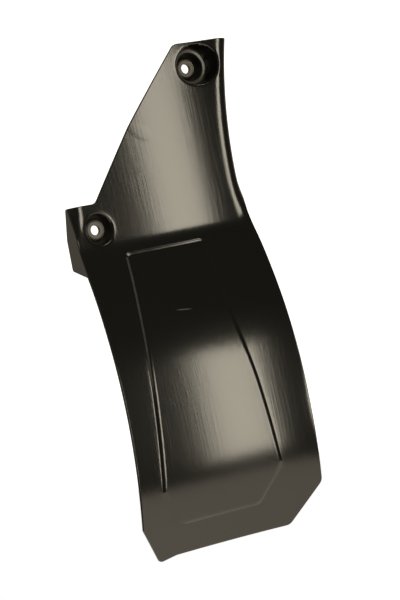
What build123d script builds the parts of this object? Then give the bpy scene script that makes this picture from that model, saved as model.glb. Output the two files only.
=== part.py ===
# Splash guard for the rear shock of an off-road motorcycle, moulded in one piece.
# The sheet hangs in front of the rear wheel. +Z is up along its length, -Y faces the wheel,
# and the origin is the middle of the upper screw hole, on the face that the screw bears on.
from build123d import *
import os
from math import cos, log, radians, sin, tan

# Sheet
WALL = 2.5                  # thickness of the moulding
TOP_Z = 20.0                # upper left corner, above the upper screw hole
TOP_TILT = 3.0              # degrees that the top edge falls to the right
BOTTOM_Z = -384.0           # bottom edge
MARGIN = 8.0                # how far the skin runs past the edges that trim it

# Section along the length: a straight upper part, a hollow bend, then a long belly
UPPER_TILT = 2.0            # degrees that the upper part faces upwards
BELLY_TILT = 17.5           # degrees that the belly's upper end faces upwards
BEND_Z = -126.0             # where the hollow bend starts
BEND_RADIUS = 60.0
BELLY_RADIUS = 470.0

# Section across the width: a flat left side, then a hollow curve
FLAT_Y = -3.4               # flat side at the height of the origin
HOLLOW_X = -75.0            # where the hollow curve starts
HOLLOW_RADIUS = 210.0
RIGHT_WIDTH = 95.5          # width of sheet from there to the lower right edge
RIGHT_BOW = 2.0             # fall of that edge, 100 mm above and below its widest place
RIGHT_BOW_Z = -240.0

# Rolled stiffening edge, upper right
ROLL_TURN = 104.0           # degrees that the sheet turns back
ROLL_START = 78.4           # width of sheet from the hollow's start to the roll, at its waist
ROLL_WAIST_Z = -108.0
ROLL_BOW = 10.0             # extra width 100 mm above the waist
ROLL_WIDTH = 22.0           # width of sheet that the turn takes up
SIDE_WALL = 7.0             # straight wall beyond the turn
ROLL_FADE_Z = -95.0         # the roll starts to open out here
ROLL_END_Z = -160.0         # and is flat here
SIDE_FADE_Z = -75.0         # the extra width that the roll needs starts to run out here
SIDE_END_Z = -128.0         # and has run out here

# Tab at the left: its top corner bends back, and a flange stands behind its outer edge
TAB_X = -136.5              # outer face of the flange
TAB_TOP_Z = -97.5
TAB_BEND = 28.0             # degrees that the top corner turns back
TAB_BEND_X = -124.5         # start of that soft bend
TAB_BEND_WIDTH = 7.0
TAB_BEND_END_Z = -132.0     # height where the soft bend has died out
FLANGE_TOP_Y = 1.5          # back edge of the flange at the tab's top
FLANGE_KNEE = (9.5, -122.0)
FLANGE_FOOT = (10.5, -147.0)
FLANGE_END = (-12.0, -156.0)

# Outline seen from the front
CORNER_X = -14.5            # upper left corner
CORNER_RADIUS = 7.0
KINK = (-68.0, -41.0)       # the slanted edge changes its slope here
KINK_RADIUS = 25.0
NOTCH_X = -112.5            # where the slanted edge meets the tab
NOTCH_RADIUS = 7.0
LEFT_WAIST = (-136.6, -225.0)
LEFT_CUT = (-143.5, -358.0)  # start of the cut corner, lower left
TIP = (-132.0, -386.5)      # tip of the cut corner
TIP_RADIUS = 4.0
TIP_WIDTH = 16.0            # from the tip to the straight bottom edge
RIGHT_CUT_X = (-14.0, 15.5)  # cut corner, lower right
RIGHT_CUT_Z = -354.5
CUT_RADIUS = 8.0            # both corners of that cut

# Raised panel on the belly
PANEL_RISE = 1.8
PANEL_EDGE = 0.9            # rounding of its front edge
PANEL_WALL = 0.95           # thickness in front of its hollow back, as a share of WALL
PANEL_TOP_Z = -141.0
PANEL_CUT_Z = -334.0
PANEL_BOTTOM_Z = -361.5
PANEL_TOP_X = (-97.5, -25.0)
PANEL_WAIST = (-25.8, -203.0)   # the right side curves in here
PANEL_HIP = (-19.6, -250.0)     # and back here
PANEL_CUT_X = (-121.0, -13.5)
PANEL_BOTTOM_X = (-110.0, -37.0)
PANEL_RADIUS = 5.0
PANEL_CUT_RADIUS = 10.0
PANEL_WAIST_RADIUS = 300.0
PANEL_HIP_RADIUS = 600.0

# Screw seats
HOLE_RADIUS = 4.0
LAND_RADIUS = 7.4           # ring that the screw's collar bears on
LAND_RISE = 1.0             # height of the ring above the floor round it
LAND_TAPER = 0.3            # width of the ring's slanted side
FLOOR_RADIUS = 8.3
SEAT_WALL = 0.8             # side wall of a seat, measured outwards, as a share of WALL
UPPER_STEP_Y = -7.0         # ledge half way up the upper seat
UPPER_STEP_RADIUS = (12.2, 14.6)
UPPER_MOUTH_RADIUS = 16.7
UPPER_MOUTH_Y = -17.0
LEFT_SEAT = (-114.0, -118.0)
LEFT_MOUTH_RADIUS = 13.0
LEFT_MOUTH_Y = -7.5
DEEP = 60.0                 # depth that is clear of the whole guard, front and back


def ease(t):
    """Smooth step from 0 to 1."""
    t = min(max(t, 0.0), 1.0)
    return t * t * (3 - 2 * t)


def spread(start, end, count):
    """Even steps from start up to, but not including, end."""
    return [start + (end - start) * i / count for i in range(count)]


def length_depth(z):
    """Depth of the sheet at height z, against its depth at the origin's height."""
    upper, lower = radians(UPPER_TILT), radians(BELLY_TILT)
    bend_end = BEND_Z - BEND_RADIUS * (lower - upper)
    depth = tan(upper) * max(z, BEND_Z)
    if z < BEND_Z:
        tilt = min(upper + (BEND_Z - z) / BEND_RADIUS, lower)
        depth += BEND_RADIUS * log(cos(tilt) / cos(upper))
    if z < bend_end:
        tilt = lower - (bend_end - z) / BELLY_RADIUS
        depth += BELLY_RADIUS * log(cos(lower) / cos(tilt))
    return depth


def roll_amount(z):
    """Share of the full roll at height z."""
    return ease((z - ROLL_END_Z) / (ROLL_FADE_Z - ROLL_END_Z))


def roll_start(z):
    """Width of sheet from the hollow's start to the roll."""
    return ROLL_START + ROLL_BOW * ((z - ROLL_WAIST_Z) / 100) ** 2


def right_width(z):
    """Width of sheet from the hollow's start to the right edge."""
    plain = RIGHT_WIDTH - RIGHT_BOW * ((z - RIGHT_BOW_Z) / 100) ** 2
    rolled = roll_start(z) + ROLL_WIDTH + SIDE_WALL
    return plain + ease((z - SIDE_END_Z) / (SIDE_FADE_Z - SIDE_END_Z)) * (rolled - plain)


def facing(s, z):
    """Way that the front faces, in radians to the right, at width s and height z."""
    amount = roll_amount(z)
    hollow_end = roll_start(z) + (1 - amount) * ROLL_WIDTH
    hollow = -min(max(s, 0.0), hollow_end) / HOLLOW_RADIUS
    roll = amount * radians(ROLL_TURN) * ease((s - roll_start(z)) / ROLL_WIDTH)
    bend = radians(TAB_BEND) * ease((TAB_BEND_X - HOLLOW_X - s) / TAB_BEND_WIDTH)
    return hollow + roll - bend * ease((z - TAB_BEND_END_Z) / (TAB_TOP_Z - TAB_BEND_END_Z))


def stations(z):
    """Widths at which the section at height z is worked out, close together where it turns."""
    left = min(TAB_X, LEFT_CUT[0]) - MARGIN - HOLLOW_X
    bend = TAB_BEND_X - HOLLOW_X
    right = right_width(z)
    wall = right - SIDE_WALL
    roll = wall - ROLL_WIDTH
    runs = spread(left, bend, 5) + spread(bend, 0, 4) + spread(0, roll, 5) + spread(roll, wall, 8)
    return runs + spread(wall, right, 2) + [right]


def heights():
    """Heights of the sections, close together over the bend and where the roll fades."""
    top, low = TOP_Z + MARGIN, TIP[1] - MARGIN
    return spread(top, ROLL_FADE_Z, 6) + spread(ROLL_FADE_Z, ROLL_END_Z, 9) + spread(ROLL_END_Z, low, 8) + [low]


def front_point(s, z):
    """Point on the front, worked out along the sheet from the start of the hollow curve."""
    steps = 40
    x, y = HOLLOW_X, FLAT_Y + length_depth(z)
    for i in range(steps):
        angle = facing(s * (i + 0.5) / steps, z)
        x += s / steps * cos(angle)
        y += s / steps * sin(angle)
    return Vector(x, y, z)


def skin(s, z, into):
    """Point at a depth into the wall behind the front."""
    angle = facing(s, z)
    return front_point(s, z) + Vector(-sin(angle), cos(angle)) * into


def curve_at(z, widths, into, pace):
    """Curve across the sheet at height z, at a depth into the wall."""
    first, last = pace[0], pace[-1]
    share = [(p - first) / (last - first) for p in pace]
    return Edge.make_spline([skin(s, z, into) for s in widths], parameters=share)


def slab(z):
    """Section through the sheet at height z."""
    pace = stations(ROLL_WAIST_Z)
    front = curve_at(z, stations(z), 0, pace)
    back = curve_at(z, stations(z), WALL, pace)
    return make_face([front, Line(front @ 1, back @ 1), back, Line(back @ 0, front @ 0)])


def space_behind(z):
    """Section at height z through all the space behind the front."""
    front = curve_at(z, stations(z), 0, stations(ROLL_WAIST_Z))
    left, right = front @ 0, front @ 1
    return make_face([front, Polyline(right, (right.X, DEEP, z), (left.X, DEEP, z), left)])


def shifted(shape, depth):
    """Copy of a shape, moved away from the viewer."""
    return shape.moved(Location((0, depth, 0)))


def rounded(points, radii):
    """Flat face with straight edges, its corners rounded by radii in the points' order."""
    face = make_face(Polyline(*points, points[0]))
    for corner, radius in zip(points, radii):
        if radius:
            face = fillet(face.vertices().sort_by_distance(corner)[0], radius)
    return face


def outline():
    """Front view of the guard, open beyond the rolled and the lower right edge."""
    cut_start, cut_end = RIGHT_CUT_X
    slope = (RIGHT_CUT_Z - BOTTOM_Z) / (cut_end - cut_start)
    corner, notch = (CORNER_X, TOP_Z), (NOTCH_X, TAB_TOP_Z)
    left_foot = (TAB_X, FLANGE_END[1])
    edge = ThreePointArc(left_foot, LEFT_WAIST, LEFT_CUT)
    rest = Polyline(LEFT_CUT, TIP, (TIP[0] + TIP_WIDTH, BOTTOM_Z), (cut_start, BOTTOM_Z),
                    (DEEP, BOTTOM_Z + slope * (DEEP - cut_start)),
                    (DEEP, TOP_Z - tan(radians(TOP_TILT)) * (DEEP - CORNER_X)),
                    corner, KINK, notch, (TAB_X, TAB_TOP_Z), left_foot)
    face = make_face([edge, rest])
    for place, radius in ((corner, CORNER_RADIUS), (KINK, KINK_RADIUS), (notch, NOTCH_RADIUS),
                          (TIP, TIP_RADIUS), ((cut_start, BOTTOM_Z), CUT_RADIUS)):
        face = fillet(face.vertices().sort_by_distance(place)[0], radius)
    return Plane.XZ * face


def flange():
    """Plate behind the tab's outer edge, from the middle of the sheet's wall."""
    side = Polyline((-DEEP, TAB_TOP_Z), (FLANGE_TOP_Y, TAB_TOP_Z), FLANGE_KNEE, FLANGE_FOOT,
                    FLANGE_END, (-DEEP, FLANGE_END[1]), (-DEEP, TAB_TOP_Z))
    return extrude(Plane.YZ.offset(TAB_X) * make_face(side), WALL) & shifted(behind, WALL / 2)


def panel_plan():
    """Front view of the raised panel, at the foot of its wall."""
    (top_left, top_right), (cut_left, cut_right) = PANEL_TOP_X, PANEL_CUT_X
    low_left, low_right = PANEL_BOTTOM_X
    points = [(top_left, PANEL_TOP_Z), (top_right, PANEL_TOP_Z), PANEL_WAIST, PANEL_HIP,
              (cut_right, PANEL_CUT_Z), (low_right, PANEL_BOTTOM_Z),
              (low_left, PANEL_BOTTOM_Z), (cut_left, PANEL_CUT_Z)]
    radii = 2 * [PANEL_RADIUS] + [PANEL_WAIST_RADIUS, PANEL_HIP_RADIUS] + 4 * [PANEL_CUT_RADIUS]
    return Plane.XZ * rounded(points, radii)


def turned(profile, place):
    """Solid turned about the axis of a screw seat, from (radius, depth) points."""
    x, z = place
    face = Plane((x, 0, z), x_dir=(1, 0, 0), z_dir=(0, 0, 1)) * make_face(Polyline(*profile, profile[0]))
    return revolve(face, Axis((x, 0, z), (0, 1, 0)))


def with_seat(body, place, wall):
    """Sink a screw seat into the sheet. wall holds (radius, depth) points from floor to mouth."""
    (r0, y0), (r1, y1) = ([(FLOOR_RADIUS, LAND_RISE)] + wall)[-2:]
    open_y = -DEEP / 2
    rim = (r1 + (r1 - r0) * (open_y - y1) / (y1 - y0), open_y)
    sides = [(FLOOR_RADIUS, LAND_RISE)] + wall[:-1] + [rim]
    hollow = [(0, 0), (LAND_RADIUS - LAND_TAPER, 0), (LAND_RADIUS, LAND_RISE)] + sides + [(0, open_y)]
    back = [(0, LAND_RISE + WALL)] + [(r + SEAT_WALL * WALL, y + WALL) for r, y in sides] + [(0, open_y + WALL)]
    body = body + (turned(back, place) & shifted(behind, WALL / 2))
    body = body - turned(hollow, place)
    x, z = place
    return body - Pos(x, 0, z) * Rot(90, 0, 0) * Cylinder(HOLE_RADIUS, DEEP)


sheet = loft([slab(z) for z in heights()])
behind = loft([space_behind(z) for z in heights()])

trimmed = sheet & extrude(outline(), DEEP, both=True)
through_wall = trimmed.edges().filter_by(lambda edge: edge.length < 2 * WALL)
corner = skin(right_width(RIGHT_CUT_Z), RIGHT_CUT_Z, WALL / 2)
guard = fillet(through_wall.sort_by_distance(corner)[0], CUT_RADIUS) + flange()

plan = panel_plan()
raised = shifted(sheet, -PANEL_RISE) & extrude(plan, DEEP)
raised_front = raised.faces().sort_by(SortBy.AREA)[-2:].sort_by(Axis.Y)[0]
guard = guard + fillet(raised_front.edges(), PANEL_EDGE)
guard = guard - (shifted(behind, PANEL_WALL * WALL - PANEL_RISE) & extrude(offset(plan, -WALL), DEEP))

guard = with_seat(guard, (0, 0), [(UPPER_STEP_RADIUS[0], UPPER_STEP_Y), (UPPER_STEP_RADIUS[1], UPPER_STEP_Y),
                                  (UPPER_MOUTH_RADIUS, UPPER_MOUTH_Y)])
guard = with_seat(guard, LEFT_SEAT, [(LEFT_MOUTH_RADIUS, LEFT_MOUTH_Y)])

os.makedirs("parts", exist_ok=True)
export_step(guard.solid(), "parts/splash_guard.step")
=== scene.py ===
import math

import bpy
import numpy as np
from mathutils import Matrix, Vector
from mathutils.geometry import delaunay_2d_cdt


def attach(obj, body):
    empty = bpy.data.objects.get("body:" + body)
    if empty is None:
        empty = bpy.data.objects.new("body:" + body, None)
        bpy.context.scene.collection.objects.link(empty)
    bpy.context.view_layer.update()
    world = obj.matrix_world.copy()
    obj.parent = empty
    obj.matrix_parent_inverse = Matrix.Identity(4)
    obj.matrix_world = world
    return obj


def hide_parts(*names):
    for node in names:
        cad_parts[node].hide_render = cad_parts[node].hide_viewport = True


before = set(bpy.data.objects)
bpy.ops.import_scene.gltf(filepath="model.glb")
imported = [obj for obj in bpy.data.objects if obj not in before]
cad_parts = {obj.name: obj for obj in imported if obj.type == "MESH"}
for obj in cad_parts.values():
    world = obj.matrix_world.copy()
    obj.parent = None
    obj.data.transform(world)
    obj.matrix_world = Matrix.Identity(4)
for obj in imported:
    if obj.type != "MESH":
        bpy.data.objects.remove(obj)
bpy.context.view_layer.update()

# The splash guard is one injection moulding in black polypropylene. Its sheet is hollow across,
# bends into a long belly and rolls back along its upper right edge. Screws in two sunk seats hold
# it in front of the rear wheel, and a flange stands behind its tab. All its sizes are in mm.
WALL = 2.5
TOP_Z, BOTTOM_Z = 20.0, -384.0
TOP_SLOPE = math.tan(math.radians(3.0))         # fall of the top edge to the right

# Along its length: a nearly straight upper part, a bend that eases in and out, a long belly
UPPER_TILT = math.radians(2.0)                  # the upper part faces this much upwards
BELLY_TILT = math.radians(17.5)                 # and the upper end of the belly this much
BEND_START_Z, BEND_END_Z = -123.0, -149.0
BELLY_RADIUS = 470.0
TOP_CURVE_Z, TOP_CURVE_RADIUS = -60.0, 5000.0   # the sheet is slightly hollow above this height

# Across its width, which is measured along the sheet from HOLLOW_X: nearly flat at the left,
# then a hollow curve that starts softly, and more softly on the belly
FLAT_Y = -3.4                                   # depth of the flat side beside the upper screw
HOLLOW_X, HOLLOW_RADIUS = -75.0, 210.0
HOLLOW_SOFT, HOLLOW_LAG = 30.0, 7.0             # width of the soft start, and how late it is
BELLY_SOFTER, BELLY_LAG = 30.0, 10.0            # what the belly adds to both
BELLY_SOFT_Z = -150.0, -210.0                   # heights where its part begins and is complete
LEFT_HOLLOW = 0.1                               # share of the curve that the left side has

# The right edge has a slight bow. Above, the sheet rolls back and ends in a straight side wall,
# and both fade out downwards, between their own two heights.
RIGHT_WIDTH, RIGHT_BOW, RIGHT_BOW_Z = 95.5, 2.0, -240.0
ROLL_TURN, ROLL_WIDTH = math.radians(104.0), 22.0
ROLL_START, ROLL_BOW, ROLL_WAIST_Z = 78.4, 10.0, -108.0
ROLL_FADE_Z, ROLL_END_Z = -95.0, -160.0
SIDE_WALL, SIDE_FADE_Z, SIDE_END_Z = 7.0, -75.0, -128.0

# The tab at the left, whose top corner is bent back softly
TAB_X, TAB_TOP_Z, TAB_FOOT_Z = -136.5, -97.5, -156.0
TAB_BEND, TAB_BEND_X, TAB_BEND_WIDTH = math.radians(28.0), -124.5, 7.0
TAB_BEND_END_Z = -126.0


def ease(t):
    """Smooth step from 0 to 1: three times the square of t, less twice its cube."""
    t = np.clip(t, 0, 1)
    return t * t * (3 - 2 * t)


def length_depth(z):
    """Depth of the sheet at height z: a tilted line that is a little hollow near the top, a bend
    whose slope eases from one tilt to the other, and a belly whose tilt changes evenly with z,
    so that its depth is the logarithm of a ratio of cosines."""
    low, high = math.tan(UPPER_TILT), math.tan(BELLY_TILT)
    length = BEND_START_Z - BEND_END_Z
    t = np.clip((BEND_START_Z - z) / length, 0, 1)
    belly = BELLY_TILT - np.maximum(BEND_END_Z - z, 0) / BELLY_RADIUS
    return (low * np.maximum(z, BEND_START_Z)
            - np.maximum(z - TOP_CURVE_Z, 0) ** 2 / 2 / TOP_CURVE_RADIUS
            - length * (low * t + (high - low) * (t ** 3 - t ** 4 / 2))
            + BELLY_RADIUS * np.log(math.cos(BELLY_TILT) / np.cos(belly)))


def roll_start(z):
    """Width of sheet up to the rolled edge: a parabola about its waist."""
    return ROLL_START + ROLL_BOW * ((z - ROLL_WAIST_Z) / 100) ** 2


def right_width(z):
    """Width of sheet up to the right edge: a parabola below, the roll and its side wall above,
    eased from one to the other."""
    plain = RIGHT_WIDTH - RIGHT_BOW * ((z - RIGHT_BOW_Z) / 100) ** 2
    rolled = roll_start(z) + ROLL_WIDTH + SIDE_WALL
    return plain + ease((z - SIDE_END_Z) / (SIDE_FADE_Z - SIDE_END_Z)) * (rolled - plain)


def facing(s, z):
    """Angle that the front faces to the right at width s and height z. It falls with the width
    along the hollow curve, which comes in as a hyperbola does, and rises by the roll's turn in
    the rolled edge. In the tab's bent corner the bend is taken off."""
    amount = ease((z - ROLL_END_Z) / (ROLL_FADE_Z - ROLL_END_Z))
    start = roll_start(z)
    belly = ease((BELLY_SOFT_Z[0] - z) / (BELLY_SOFT_Z[0] - BELLY_SOFT_Z[1]))
    soft, lag = HOLLOW_SOFT + belly * BELLY_SOFTER, HOLLOW_LAG + belly * BELLY_LAG
    curve = (s + np.sqrt(s ** 2 + soft ** 2)) / 2 - lag + LEFT_HOLLOW * np.minimum(s, 0)
    hollow = -np.minimum(curve, start + (1 - amount) * ROLL_WIDTH - HOLLOW_LAG) / HOLLOW_RADIUS
    roll = amount * ROLL_TURN * ease((s - start) / ROLL_WIDTH)
    bend = TAB_BEND * ease((TAB_BEND_X - HOLLOW_X - s) / TAB_BEND_WIDTH)
    return hollow + roll - bend * ease((z - TAB_BEND_END_Z) / (TAB_TOP_Z - TAB_BEND_END_Z))


def sheet_point(s, z):
    """Place x and depth y of the plain sheet's front at width s and height z: the cosine and the
    sine of its facing, summed along the sheet from the start of the hollow curve."""
    steps = 40
    way = facing(s[..., None] * (np.arange(steps) + 0.5) / steps, z[..., None])
    x = HOLLOW_X + s * np.cos(way).mean(-1)
    y = FLAT_Y + length_depth(z) + s * np.sin(way).mean(-1)
    return x, y


def across(x, z):
    """Width at which the sheet reaches x at height z, corrected a few times by what x still
    lacks over the cosine of the facing."""
    s = x - HOLLOW_X
    for _ in range(6):
        s = s + (x - sheet_point(s, z)[0]) / np.cos(facing(s, z))
    return s


def on_sheet(places):
    """Widths and heights on the sheet of places (x, z) in the front view."""
    return np.stack([across(*places.T), places[:, 1]], 1)


ARC_TURN = 0.2                                  # most that an arc turns from point to point


def rounded_path(points, radii, step, closed=True):
    """Path through corner points: each corner becomes an arc of its radius, tangent to both its
    sides, and long straight stretches are cut into steps."""
    points = np.asarray(points, float)
    count = len(points)
    path = []
    for i, (corner, radius) in enumerate(zip(points, radii)):
        is_end = not closed and i in (0, count - 1)
        if is_end or not radius:
            path.append(corner[None])
            continue
        before = points[i - 1] - corner
        after = points[(i + 1) % count] - corner
        before, after = before / np.hypot(*before), after / np.hypot(*after)
        half = math.acos(np.clip(before @ after, -1, 1)) / 2
        middle = corner + (before + after) / np.hypot(*(before + after)) * radius / math.sin(half)
        start = corner + before * radius / math.tan(half) - middle
        end = corner + after * radius / math.tan(half) - middle
        turn = math.copysign(math.pi - 2 * half, start[0] * end[1] - start[1] * end[0])
        arc_steps = max(2, math.ceil(abs(turn) / ARC_TURN), math.ceil(abs(turn) * radius / step))
        angle = math.atan2(start[1], start[0]) + np.linspace(0, turn, arc_steps + 1)
        path.append(middle + radius * np.stack([np.cos(angle), np.sin(angle)], 1))
    path = np.concatenate(path)
    starts, ends = (path, np.roll(path, -1, 0)) if closed else (path[:-1], path[1:])
    counts = np.maximum(np.ceil(np.hypot(*(ends - starts).T) / step), 1).astype(int)
    stretch = np.repeat(np.arange(len(counts)), counts)
    share = (np.arange(len(stretch)) - np.searchsorted(stretch, stretch)) * (1 / counts[stretch])
    stepped = starts[stretch] + (ends - starts)[stretch] * share[:, None]
    return stepped if closed else np.concatenate([stepped, path[-1:]])


def outward(path):
    """Unit normals that point out of a closed path: the way from one neighbour to the other,
    turned by a right angle, with the sign of the path's area."""
    along = np.roll(path, -1, 0) - np.roll(path, 1, 0)
    x, y = path.T
    area = (x * np.roll(y, -1) - np.roll(x, -1) * y).sum()
    normal = np.stack([along[:, 1], -along[:, 0]], 1) * np.sign(area)
    return normal / np.linalg.norm(normal, axis=1, keepdims=True)


def depth_inside(path, points):
    """Distance of points to a closed path, + inside: the nearest of its straight pieces, with
    the sign from how often a line to the right crosses the path."""
    at_once = 2000
    ends = np.roll(path, -1, 0)
    side = ends - path
    result = []
    for part in np.array_split(points, max(1, len(points) // at_once)):
        offset = part[:, None] - path
        share = np.clip((offset * side).sum(-1) / (side ** 2).sum(-1), 0, 1)
        gap = np.linalg.norm(offset - share[..., None] * side, axis=-1).min(1)
        above, above_end = path[:, 1] > part[:, None, 1], ends[:, 1] > part[:, None, 1]
        with np.errstate(divide="ignore", invalid="ignore"):
            cut = path[:, 0] + (part[:, None, 1] - path[:, 1]) * side[:, 0] / side[:, 1]
        crossings = ((above != above_end) & (cut > part[:, None, 0])).sum(1)
        result.append(np.where(crossings % 2, gap, -gap))
    return np.concatenate(result)


# The left edge below the tab is a parabola through the tab's foot, its waist and the cut corner
LEFT_WAIST, LEFT_CUT = (-136.6, -225.0), (-143.5, -358.0)
LEFT_CURVE = np.polyfit([TAB_FOOT_Z, LEFT_WAIST[1], LEFT_CUT[1]], [TAB_X, LEFT_WAIST[0], LEFT_CUT[0]], 2)
LEFT_HEIGHTS = np.linspace(TAB_FOOT_Z, LEFT_CUT[1], 20)[1:-1]

# Corners of the front view as (x, z, radius), from the left end of the top edge down the left
# side to the right end of the bottom edge, where the cut corner starts
RIGHT_CUT_Z, RIGHT_CUT_RADIUS, TOP_RIGHT_RADIUS = -354.5, 8.0, 2.0
CORNERS = [(-14.5, TOP_Z, 7), (-68, -41, 25), (-112.5, TAB_TOP_Z, 7), (TAB_X, TAB_TOP_Z, 0.8)]
CORNERS += [(TAB_X, z, 0) for z in (-110, -121, -132, TAB_FOOT_Z)]
CORNERS += [(np.polyval(LEFT_CURVE, z), z, 0) for z in LEFT_HEIGHTS]
CORNERS += [(*LEFT_CUT, 3), (-132, -386.5, 4), (-116, BOTTOM_Z, 12), (-14, BOTTOM_Z, RIGHT_CUT_RADIUS)]
EDGE_STEP = 1.5


def guard_outline():
    """Edge of the sheet, in widths and heights on the sheet: the corners of the front view, then
    the right edge from below, and the top edge, which falls to the right, back to the start."""
    corners = np.array(CORNERS)
    left = on_sheet(corners[:, :2])
    top = np.linspace(right_width(TOP_Z), left[0, 0], 14)[:-1]
    top_z = np.full(len(top), TOP_Z)
    for _ in range(3):
        top_z = TOP_Z - TOP_SLOPE * (sheet_point(top, top_z)[0] - corners[0, 0])
    heights = np.linspace(RIGHT_CUT_Z, top_z[0], 50)[:-1]
    right = np.stack([right_width(heights), heights], 1)
    radii = np.zeros(len(corners) + len(right) + len(top))
    radii[:len(corners)] = corners[:, 2]
    radii[len(corners)] = RIGHT_CUT_RADIUS
    radii[len(corners) + len(right)] = TOP_RIGHT_RADIUS
    return rounded_path(np.concatenate([left, right, np.stack([top, top_z], 1)]), radii, EDGE_STEP)


# The raised panel stiffens the belly. It is moulded in the same wall and hollow behind, with a
# steep foot and a rounded crest. These are the corners of its foot as (x, z, radius).
PANEL_TOP_Z, PANEL_CUT_Z, PANEL_BOTTOM_Z = -141.0, -334.0, -361.5
PANEL_CORNERS = np.array([(-97.5, PANEL_TOP_Z, 5), (-25, PANEL_TOP_Z, 5), (-25.8, -203, 300),
                          (-19.6, -250, 600), (-13.5, PANEL_CUT_Z, 10), (-37, PANEL_BOTTOM_Z, 10),
                          (-110, PANEL_BOTTOM_Z, 10), (-121, PANEL_CUT_Z, 10)])
PANEL_STEP = 1.6
PANEL_RISE, PANEL_WALL_WIDTH = 1.8, 4.2
PANEL_FOOT_ROUND, PANEL_CREST = 0.5, 2.4
PANEL_BACK_INSET = 0.4 * WALL                   # how much smaller the panel is behind


def panel_height(inside):
    """Height of the panel at a distance inside its foot: its full rise, less the share of its
    wall's width that is still ahead raised to a power. The foot comes in as a hyperbola does."""
    run = (inside + np.sqrt(inside ** 2 + PANEL_FOOT_ROUND ** 2)) / 2 / PANEL_WALL_WIDTH
    return PANEL_RISE * (1 - (1 - np.clip(run, 0, 1)) ** PANEL_CREST)


# The two screw seats are sunk in the same wall. Each has a round hole in a raised land that the
# screw's collar bears on, and the upper one has a ledge half way up. A profile of the front runs
# from the hole outwards as (radius, depth, rounding). Its last stretch runs on in front of the
# sheet, which takes over where it is the deeper of the two.
HOLE_RADIUS, HOLE_ROUND = 4.0, 0.35
LAND_RISE = 1.0
HOLE_DEPTH = WALL + LAND_RISE
LAND = [(7.1, 0, 0.4), (7.4, LAND_RISE, 0.25), (8.3, LAND_RISE, 0.6)]
LEDGE_RADIUS, LEDGE_HALF_WIDTH, LEDGE_Y, LEDGE_NEAR = 13.3, 1.5, -6.9, 1.5
SEATS = [((0.0, 0.0), LAND + [(12.1, -6.8, 0.9), (14.5, -7.0, 0.7), (16.7, -17, 0), (30.1, -81, 0)]),
         ((-114.0, -118.0), LAND + [(13, -7.5, 0), (39.3, -55, 0)])]
MOUTH_ROUNDS = 2.0, 1.2                         # rounding where each seat leaves the sheet
SEAT_BACK_WIDER, SEAT_BACK_ROUND, SEAT_STEP = 0.8 * WALL, 1.5, 0.3
SEAT_STRAIGHT, SEAT_FADE = 14.0, 8.0            # radius with the back straight behind, and its fade


def softer_max(a, b, soft):
    """The larger of two depths, with the crease between them rounded as a hyperbola."""
    return (a + b + np.sqrt((a - b) ** 2 + soft ** 2)) / 2


def seat_depth(profile, radius, back):
    """Depth of a seat's front or back at a radius: its rounded profile, which the back follows
    at the wall's thickness."""
    if back:
        corners = [(HOLE_RADIUS - 1, HOLE_DEPTH, 0)]
        corners += [(r + SEAT_BACK_WIDER, y + WALL, SEAT_BACK_ROUND) for r, y, _ in profile[2:]]
    else:
        corners = [(HOLE_RADIUS - 1, 0, 0)] + profile
    corners = np.array(corners)
    path = rounded_path(corners[:, :2], corners[:, 2], SEAT_STEP, closed=False)
    return np.interp(radius, path[:, 0], path[:, 1])


def guard_point(s, z, panel, back=False):
    """Front or back of the guard at width s and height z: the sheet, raised by the panel, and
    the seats where they lie deeper than the sheet. The back is one wall behind the front."""
    x, y = sheet_point(s, z)
    inside = depth_inside(panel, np.stack([x, z], 1))
    y = y - panel_height(inside - (PANEL_BACK_INSET if back else 0))
    if back:
        way = facing(s, z)
        near = np.min([np.hypot(x - cx, z - cz) for (cx, cz), _ in SEATS], 0)
        x = x - np.sin(way) * WALL * ease((near - SEAT_STRAIGHT) / SEAT_FADE)
        y = y + np.cos(way) * WALL
    for ((cx, cz), profile), mouth in zip(SEATS, MOUTH_ROUNDS):
        radius = np.hypot(x - cx, z - cz)
        y = softer_max(y, seat_depth(profile, radius, back), mouth)
    return np.stack([x, y, z], 1)


def front_normals(s, z, panel):
    """Outward normals of the front: the cross product of its slopes along s and along z."""
    h = 0.04
    along_s = guard_point(s + h, z, panel) - guard_point(s - h, z, panel)
    along_z = guard_point(s, z + h, panel) - guard_point(s, z - h, panel)
    normal = np.cross(along_s, along_z)
    return normal / np.linalg.norm(normal, axis=1, keepdims=True)


def filled_plan(loops, points):
    """Flat triangles inside the first loop and outside the others, through all the points."""
    inside_only, same_point = 1, 1e-5
    corners = np.concatenate([*loops, points])
    starts = np.cumsum([0] + [len(loop) for loop in loops])
    rims = [np.arange(first, last) for first, last in zip(starts, starts[1:])]
    edges = np.concatenate([np.stack([rim, np.roll(rim, -1)], 1) for rim in rims]).tolist()
    made = delaunay_2d_cdt([Vector(p) for p in corners.tolist()], edges, [], inside_only, same_point)
    plan = np.array([tuple(p) for p in made[0]])
    faces = np.array(made[2])
    source = np.array([ids[0] for ids in made[3]])
    for loop in loops[1:]:
        faces = faces[depth_inside(loop, plan[faces].mean(1)) < 0]
    return corners, source[faces]


def strip(rows):
    """Quads between rows of point numbers, each row a closed loop of as many points."""
    low, high = np.array(rows[:-1]), np.array(rows[1:])
    quads = [low, np.roll(low, -1, 1), np.roll(high, -1, 1), high]
    return np.stack(quads, 2).reshape(-1, 4)


# Rounding of the outer edge and of the holes, as (depth below the front, distance): the outer
# edge's distance is outwards from the rounding's start, a hole's from its wall
EDGE_ROUND = 0.75
EDGE_PROFILE = [(EDGE_ROUND * (1 - math.cos(a)), EDGE_ROUND * math.sin(a))
                for a in np.linspace(0, math.pi / 2, 5)]
EDGE_PROFILE += [(WALL - depth, distance) for depth, distance in EDGE_PROFILE[::-1]]
HOLE_PROFILE = [(0.1, 0.1), (HOLE_ROUND, 0), (HOLE_DEPTH - HOLE_ROUND, 0), (HOLE_DEPTH - 0.1, 0.1)]

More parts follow.
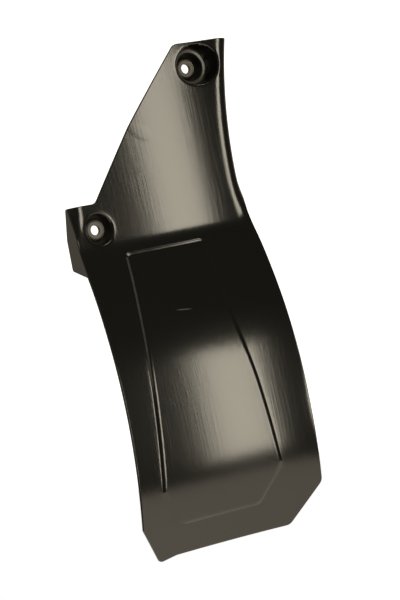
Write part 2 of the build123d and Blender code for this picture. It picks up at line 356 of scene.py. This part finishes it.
# Points that the plan's triangles meet in: rings at these distances inside the outline, inside
# the panel's foot and from the middle of each screw, close together where the shape turns, and
# grids between them, each given as its start, end and step
OUTLINE_RINGS = 0.8, 1.9, 3.4
PANEL_RINGS = np.r_[-1.2, -0.8, -0.5, -0.25:0.55:0.125, 0.75, 1.05:4.8:0.4]
SEAT_REACH = 24.0
SEAT_RINGS = np.r_[HOLE_RADIUS + HOLE_ROUND + 0.5:7:0.8, 7:9.6:0.22, 9.6:11.7:0.3,
                   11.7:15.1:0.2, 15.1:21:0.33, 21:SEAT_REACH:0.9]
GRID_ACROSS, GRID_UP = (-72, 120, 2.5), (-388, TOP_Z, 2.5)
ROLL_GRID_ACROSS, ROLL_GRID_UP = (6.5, 44, 1.1), (-172, TOP_Z, 2.2)
GRID_FROM_EDGE, RINGS_FROM_EDGE = 5.6, 4.4
GRID_FROM_PANEL, GRID_IN_PANEL, GRID_FROM_SEAT = 2.2, 6.4, SEAT_REACH + 0.6
CIRCLE_TURN = np.linspace(0, 2 * math.pi, 112, endpoint=False)
CIRCLE = np.stack([np.cos(CIRCLE_TURN), np.sin(CIRCLE_TURN)], 1)


def plan_points(outline, panel, edge):
    """All points inside the guard's edge: the rings, and a staggered grid that is closer across
    the rolled edge, where it follows the right edge."""
    out, panel_out = outward(outline), outward(panel)
    points = [outline - out * (EDGE_ROUND + inset) for inset in OUTLINE_RINGS]
    points += [on_sheet(panel - panel_out * inset) for inset in PANEL_RINGS]
    for centre, _ in SEATS:
        rings = on_sheet((centre + CIRCLE * SEAT_RINGS[:, None, None]).reshape(-1, 2))
        points.append(rings[depth_inside(edge, rings) > RINGS_FROM_EDGE])

    s, z = (part.ravel() for part in np.meshgrid(np.arange(*GRID_ACROSS), np.arange(*GRID_UP)))
    step = GRID_UP[2]
    s = s + step / 2 * (np.round(z / step) % 2)
    in_roll = (right_width(z) - s < ROLL_GRID_ACROSS[1] + 1) & (z > ROLL_GRID_UP[0] - 2)
    grid = np.stack([s, z], 1)[~in_roll]
    from_edge, z = (part.ravel() for part in
                    np.meshgrid(np.arange(*ROLL_GRID_ACROSS), np.arange(*ROLL_GRID_UP)))
    grid = np.concatenate([grid, np.stack([right_width(z) - from_edge, z], 1)])
    grid = grid[depth_inside(edge, grid) > GRID_FROM_EDGE]
    place = np.stack([sheet_point(*grid.T)[0], grid[:, 1]], 1)
    inside = depth_inside(panel, place)
    free = (inside < -GRID_FROM_PANEL) | (inside > GRID_IN_PANEL)
    for centre, _ in SEATS:
        free &= np.hypot(*(place - centre).T) > GRID_FROM_SEAT
    return np.concatenate([*points, grid[free]])


def guard_mesh():
    """The guard as one closed skin: front and back over one plan of triangles, joined by rounded
    strips along the outline and in both holes. The flange follows as a second closed plate."""
    outline = guard_outline()
    out = outward(outline)
    panel = rounded_path(PANEL_CORNERS[:, :2], PANEL_CORNERS[:, 2], PANEL_STEP)
    loops = [outline - out * EDGE_ROUND]
    loops += [on_sheet(centre + CIRCLE * (HOLE_RADIUS + HOLE_ROUND)) for centre, _ in SEATS]
    plan, faces = filled_plan(loops, plan_points(outline, panel, loops[0]))
    count, size = len(plan), len(outline)
    vertices = [guard_point(*plan.T, panel), guard_point(*plan.T, panel, back=True)]
    polygons = [faces, faces[:, ::-1] + count]

    total = 2 * count
    rows = [np.arange(size)]
    for depth, distance in EDGE_PROFILE[1:-1]:
        at = loops[0] + out * distance
        vertices.append(guard_point(*at.T, panel) * (1 - depth / WALL)
                        + guard_point(*at.T, panel, back=True) * depth / WALL)
        rows.append(total + np.arange(size))
        total += size
    polygons.append(strip(rows + [count + np.arange(size)]))

    first = size
    for (centre, _), loop in zip(SEATS, loops[1:]):
        rim = first + np.arange(len(loop))
        rows = [rim]
        for depth, distance in HOLE_PROFILE:
            ring = centre + CIRCLE * (HOLE_RADIUS + distance)
            vertices.append(np.column_stack([ring[:, 0], np.full(len(ring), depth), ring[:, 1]]))
            rows.append(total + np.arange(len(loop)))
            total += len(loop)
        polygons.append(strip(rows + [count + rim]))
        first += len(loop)

    flange, flange_faces = flange_mesh()
    polygons += [part + total for part in flange_faces]
    vertices = np.concatenate([*vertices, flange])
    normals = np.zeros(vertices.shape)
    normals[:count] = front_normals(*plan.T, panel)
    return vertices, [face for part in polygons for face in part.tolist()], normals


# The flange stands behind the tab's outer edge, moulded in one with it and as thick as its wall.
# Its edge is given as (y, z, radius), from the top down its back to the sheet.
FLANGE_EDGE = [(1.5, TAB_TOP_Z, 2), (9.5, -122, 12), (10.5, -147, 2.5), (-12, TAB_FOOT_Z, 0)]
FLANGE_SUNK = 0.4                               # its front edge lies this deep in the sheet's wall
FLANGE_PROUD = 0.02                             # and its face this far outside the tab's edge
FLANGE_FRONT_ROUND, FLANGE_STEP, FLANGE_RINGS = 1.0, 1.2, (1.4, 2.6)


def flange_mesh():
    """The flange as a closed plate with rounded edges, in the plane of the tab's outer edge. Its
    front edge follows the sheet's front, inside the sheet's wall."""
    z = np.linspace(TAB_FOOT_Z, TAB_TOP_Z, 20)
    y = sheet_point(across(np.full(len(z), TAB_X), z), z)[1] + FLANGE_SUNK
    (foot_y, foot_z, _), (end_y, end_z, _) = FLANGE_EDGE[-2:]
    inside = y < foot_y + (end_y - foot_y) * (z - foot_z) / (end_z - foot_z)
    front = np.stack([y, z, np.zeros(len(z))], 1)[inside]
    front[[0, -1], 2] = FLANGE_FRONT_ROUND
    corners = np.concatenate([front, FLANGE_EDGE[:-1]])
    edge = rounded_path(corners[:, :2], corners[:, 2], FLANGE_STEP)
    out = outward(edge)
    loop = edge - out * EDGE_ROUND
    plan, faces = filled_plan([loop], np.concatenate([edge - out * inset for inset in FLANGE_RINGS]))
    count, size = len(plan), len(loop)
    outer_x = TAB_X - FLANGE_PROUD
    sides = [np.column_stack([np.full(count, outer_x + depth), plan]) for depth in (0, WALL)]
    rows = [np.arange(size)]
    for row, (depth, distance) in enumerate(EDGE_PROFILE[1:-1]):
        sides.append(np.column_stack([np.full(size, outer_x + depth), loop + out * distance]))
        rows.append(2 * count + row * size + np.arange(size))
    return np.concatenate(sides), [faces, faces[:, ::-1] + count, strip(rows + [count + np.arange(size)])]


LEDGE_MATT = 0.35                               # how matt the upper seat's ledge is, and how much painted sheen it gets, to a land's 1


def as_piece(name, vertices, faces, normals):
    """Object from points in mm and faces, turned outwards, with smooth normals, given ones where
    they aren't zero. It carries a map across and up the sheet, and marks the matt places: the
    lands of both seats and, less so, the ledge, which the material also paints paler as sheen."""
    mesh = bpy.data.meshes.new(name)
    mesh.from_pydata((vertices / 1000).tolist(), [], faces)
    mesh.validate()
    piece = bpy.data.objects.new(name, mesh)
    bpy.context.scene.collection.objects.link(piece)
    bpy.ops.object.select_all(action="DESELECT")
    piece.select_set(True)
    bpy.context.view_layer.objects.active = piece
    bpy.ops.object.mode_set(mode="EDIT")
    bpy.ops.mesh.select_all(action="SELECT")
    bpy.ops.mesh.normals_make_consistent(inside=False)
    bpy.ops.object.mode_set(mode="OBJECT")
    mesh.shade_smooth()
    mesh.normals_split_custom_set_from_vertices(normals.tolist())

    corner = np.empty(len(mesh.loops), int)
    mesh.loops.foreach_get("vertex_index", corner)
    place = np.empty(len(mesh.vertices) * 3)
    mesh.vertices.foreach_get("co", place)
    x, y, z = place.reshape(-1, 3)[corner].T
    across_and_up = mesh.uv_layers.new(name="sheet")
    across_and_up.uv.foreach_set("vector", np.stack([x + y, z], 1).ravel())

    depth = vertices[:, 1]
    far = [np.hypot(vertices[:, 0] - cx, vertices[:, 2] - cz) for (cx, cz), _ in SEATS]
    land_radius, land_floor, _ = LAND[1]
    land = (np.min(far, 0) < land_radius) & (depth < land_floor)
    ledge = (np.abs(far[0] - LEDGE_RADIUS) < LEDGE_HALF_WIDTH) & (np.abs(depth - LEDGE_Y) < LEDGE_NEAR)
    matt = mesh.attributes.new("matt", "FLOAT", "POINT")
    matt.data.foreach_set("value", land + LEDGE_MATT * ledge)
    return piece


def linear(colour):
    """Linear RGBA of an sRGB hex colour."""
    channels = [int(colour[i:i + 2], 16) / 255 for i in (1, 3, 5)]
    return [c / 12.92 if c <= 0.04045 else ((c + 0.055) / 1.055) ** 2.4 for c in channels] + [1.0]


def add_node(tree, kind, values=(), **settings):
    """Node of a kind with its settings; values holds its inputs, or what they link to."""
    node = tree.nodes.new(kind)
    for key, value in settings.items():
        setattr(node, key, value)
    for key, value in dict(values).items():
        if isinstance(value, bpy.types.NodeSocket):
            tree.links.new(value, node.inputs[key])
        else:
            node.inputs[key].default_value = value
    return node


guard = as_piece("splash_guard_skin", *guard_mesh())

# Moulded polypropylene: black all through, with a satin face that is finely brushed lengthwise
# where it has been wiped, so it blurs reflections sideways far more than along the guard. Fine
# streaks run lengthwise too, and the lands that the screws bear on are matt, with painted sheen.
POLYPROPYLENE_IOR = 1.49
BRUSHED = 0.62                                  # how much more the brushing blurs sideways
SATIN, MATT = 0.15, 0.42                        # roughness of the face and of the lands
BLACK, PALE = "#151412", "#5A564F"
polypropylene = bpy.data.materials.new("moulded_polypropylene")
polypropylene.use_nodes = True
tree = polypropylene.node_tree
surface = tree.nodes["Principled BSDF"]
surface.inputs["IOR"].default_value = POLYPROPYLENE_IOR
surface.inputs["Anisotropic"].default_value = BRUSHED
brushed = add_node(tree, "ShaderNodeTangent", direction_type="UV_MAP", uv_map="sheet")
tree.links.new(brushed.outputs["Tangent"], surface.inputs["Tangent"])
# The matt marks set the roughness, and below they also paint sheen into the colour
matt = add_node(tree, "ShaderNodeAttribute", attribute_name="matt").outputs["Fac"]
roughness = add_node(tree, "ShaderNodeMapRange", {"Value": matt, "To Min": SATIN, "To Max": MATT})
tree.links.new(roughness.outputs["Result"], surface.inputs["Roughness"])

# Streaks 1.1 mm apart and 167 mm long. The real ones are finer, and are drawn this coarse to show.
STREAK_APART, STREAK_LENGTH = 10 / 9, 500 / 3
STREAK_SCALE = (1000 / STREAK_APART, 1000 / STREAK_APART, 1000 / STREAK_LENGTH)
place = add_node(tree, "ShaderNodeTexCoord").outputs["Object"]
stretched = add_node(tree, "ShaderNodeMapping", {"Vector": place, "Scale": STREAK_SCALE})
streaks = add_node(tree, "ShaderNodeTexNoise",
                   {"Vector": stretched.outputs["Vector"], "Scale": 1.0, "Detail": 4.0})


def spot(centre, half, turn):
    """1 inside an ellipse seen from the front, falling softly to 0 at its edge. centre and half
    are (x, z) in mm, and turn is its tilt in degrees. The measure is the length of the place
    from its centre, turned upright and divided by the half sizes."""
    middle = (centre[0] / 1000, 0, centre[1] / 1000)
    moved = add_node(tree, "ShaderNodeVectorMath", {0: place, 1: middle}, operation="SUBTRACT")
    turned = add_node(tree, "ShaderNodeVectorRotate",
                      {"Vector": moved.outputs[0], "Angle": math.radians(turn)}, rotation_type="Y_AXIS")
    scale = (1000 / half[0], 0, 1000 / half[1])
    scaled = add_node(tree, "ShaderNodeVectorMath", {0: turned.outputs[0], 1: scale}, operation="MULTIPLY")
    far = add_node(tree, "ShaderNodeVectorMath", {0: scaled.outputs[0]}, operation="LENGTH")
    soft = add_node(tree, "ShaderNodeMapRange",
                    {"Value": far.outputs["Value"], "From Min": 1.0, "From Max": 0.4},
                    interpolation_type="SMOOTHSTEP")
    return soft.outputs["Result"]


# The relief of the streaks, 0.05 mm high, and a shallow dent near the slanted edge, where the
# sheet was pressed in
STREAK_HEIGHT, DENT_DEPTH = 0.05, 0.06
dent = spot(centre=(-58, -47), half=(14, 7), turn=-35)
dented = add_node(tree, "ShaderNodeMath",
                  {0: dent, 1: -DENT_DEPTH / STREAK_HEIGHT, 2: streaks.outputs["Fac"]},
                  operation="MULTIPLY_ADD")
relief = add_node(tree, "ShaderNodeBump",
                  {"Height": dented.outputs[0], "Strength": 1.0, "Distance": STREAK_HEIGHT / 1000})
tree.links.new(relief.outputs["Normal"], surface.inputs["Normal"])

# Pale places: the mark of the mould's gate on the panel, and painted sheen on the lands and the ledge
gate = spot(centre=(-64.5, -195), half=(8.5, 0.65), turn=-6)
gate_mark_and_painted_sheen = add_node(tree, "ShaderNodeMath", {0: gate, 1: matt}, operation="MAXIMUM")
colour = add_node(tree, "ShaderNodeMix", {"Factor": gate_mark_and_painted_sheen.outputs[0]}, data_type="RGBA")
colour.inputs["A"].default_value = linear(BLACK)
colour.inputs["B"].default_value = linear(PALE)
tree.links.new(colour.outputs["Result"], surface.inputs["Base Color"])
guard.data.materials.append(polypropylene)
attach(guard, "root")
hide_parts("splash_guard")

# Matt white paper: a round floor under the guard and a round backdrop far behind it. Both show
# as white to the camera, in reflections the floor is brighter and the backdrop nearly dark, and
# the floor still takes the guard's shadow. Sizes from here on are in metres.
FLOOR_Z, FLOOR_RADIUS, BACKDROP_RADIUS, BACKDROP_HEIGHT = -0.62, 1.2, 3.4, 2.4
FLOOR_GLOW, BACKDROP_GLOW = 1.5, 0.15           # what each paper sends into reflections
turn = np.linspace(0, 2 * math.pi, 96, endpoint=False)
disc = FLOOR_RADIUS * np.stack([np.cos(turn), np.sin(turn)], 1)
floor_points = np.column_stack([disc, np.full(len(disc), FLOOR_Z)])
floor_faces = [list(range(len(disc)))]
half_turn = np.linspace(0, math.pi, 49)
rim = BACKDROP_RADIUS * np.stack([np.cos(half_turn), np.sin(half_turn)], 1)
backdrop_points = np.concatenate([np.column_stack([rim, np.full(len(rim), z)])
                                  for z in (FLOOR_Z, BACKDROP_HEIGHT)])
backdrop_faces = [[i + 1, i, i + len(rim), i + 1 + len(rim)] for i in range(len(rim) - 1)]
for name, strength, points, faces in [("floor", FLOOR_GLOW, floor_points, floor_faces),
                                      ("backdrop", BACKDROP_GLOW, backdrop_points, backdrop_faces)]:
    paper = bpy.data.materials.new("matt_paper_" + name)
    paper.use_nodes = True
    paper_tree = paper.node_tree
    paper_surface = paper_tree.nodes["Principled BSDF"]
    paper_surface.inputs["Base Color"].default_value = linear("#F2F1EE")
    paper_surface.inputs["Roughness"].default_value = 0.9
    rays = add_node(paper_tree, "ShaderNodeLightPath")
    seen, mirrored = rays.outputs["Is Camera Ray"], rays.outputs["Is Glossy Ray"]
    sent = add_node(paper_tree, "ShaderNodeMath", {0: mirrored, 1: strength}, operation="MULTIPLY")
    glow = add_node(paper_tree, "ShaderNodeMath", {0: seen, 1: sent.outputs[0]}, operation="MAXIMUM")
    paper_tree.links.new(glow.outputs[0], paper_surface.inputs["Emission Strength"])
    tint = add_node(paper_tree, "ShaderNodeMix", {"Factor": seen}, data_type="RGBA")
    tint.inputs["A"].default_value = linear("#FFF2DC")
    tint.inputs["B"].default_value = linear("#FFFFFF")
    paper_tree.links.new(tint.outputs["Result"], paper_surface.inputs["Emission Color"])
    paper_mesh = bpy.data.meshes.new(name)
    paper_mesh.from_pydata(points.tolist(), [], faces)
    paper_mesh.materials.append(paper)
    sheet = bpy.data.objects.new(name, paper_mesh)
    bpy.context.scene.collection.objects.link(sheet)

# Soft lamps, slightly warm. The main one stands far in front and a little to the right, and its
# reflection is the long highlight. A narrow tall one at the left and a wide one overhead are weak.
GUARD_MIDDLE = Vector((-0.055, -0.03, -0.18))
WARM = (1.0, 0.92, 0.74)


def soft_lamp(name, azimuth, elevation, distance, size, watts):
    """Rectangular lamp that faces the guard's middle from an azimuth, + to the right of its
    front, and an elevation, both in degrees."""
    a, e = math.radians(azimuth), math.radians(elevation)
    lamp = bpy.data.lights.new(name, "AREA")
    lamp.shape = "RECTANGLE"
    lamp.size, lamp.size_y = size
    lamp.energy = watts
    lamp.color = WARM
    holder = bpy.data.objects.new(name, lamp)
    way = Vector((math.sin(a) * math.cos(e), -math.cos(a) * math.cos(e), math.sin(e)))
    holder.location = GUARD_MIDDLE + way * distance
    holder.rotation_euler = way.to_track_quat("Z", "Y").to_euler()
    bpy.context.scene.collection.objects.link(holder)


soft_lamp("main_softbox", azimuth=10.9, elevation=0.5, distance=12, size=(4.4, 4.9), watts=680)
soft_lamp("left_softbox", azimuth=-38, elevation=30, distance=1.6, size=(0.25, 1.1), watts=1.3)
soft_lamp("top_softbox", azimuth=25, elevation=70, distance=1.6, size=(0.8, 0.35), watts=7)

# The room is dim and slightly warm, and white to the camera alone
DIM = 0.3
world = bpy.data.worlds.new("studio")
bpy.context.scene.world = world
world.use_nodes = True
world_tree = world.node_tree
seen = add_node(world_tree, "ShaderNodeLightPath").outputs["Is Camera Ray"]
dark = world_tree.nodes["Background"]
dark.inputs["Color"].default_value = linear("#8A857A")
dark.inputs["Strength"].default_value = DIM
white = add_node(world_tree, "ShaderNodeBackground", {"Color": linear("#FFFFFF"), "Strength": 1.0})
mixed = add_node(world_tree, "ShaderNodeMixShader", {0: seen, 1: dark.outputs[0], 2: white.outputs[0]})
world_tree.links.new(mixed.outputs[0], world_tree.nodes["World Output"].inputs["Surface"])

bpy.context.scene.view_settings.view_transform = "Standard"

# The camera looks from 30 degrees to the guard's left, and is turned so that the guard hangs 12
# degrees off upright in the picture.
FOCAL_PIXELS, PICTURE_HEIGHT = 2048, 600
CAMERA_PLACE = (-0.8745, -1.4580, -0.1903)
CAMERA_RIGHT = Vector((0.847, -0.489, -0.208)).normalized()
CAMERA_BACK = -Vector((0.5, 0.866, 0.0)).normalized()
CAMERA_UP = CAMERA_BACK.cross(CAMERA_RIGHT)
camera_data = bpy.data.cameras.new("camera")
camera_data.sensor_fit = "VERTICAL"
camera_data.sensor_height = 36.0
camera_data.lens = FOCAL_PIXELS / PICTURE_HEIGHT * camera_data.sensor_height
camera_data.clip_start, camera_data.clip_end = 0.05, 30
camera = bpy.data.objects.new("camera", camera_data)
turned_to_view = Matrix((CAMERA_RIGHT, CAMERA_UP, CAMERA_BACK)).transposed().to_4x4()
camera.matrix_world = Matrix.Translation(CAMERA_PLACE) @ turned_to_view
bpy.context.scene.collection.objects.link(camera)
bpy.context.scene.camera = camera
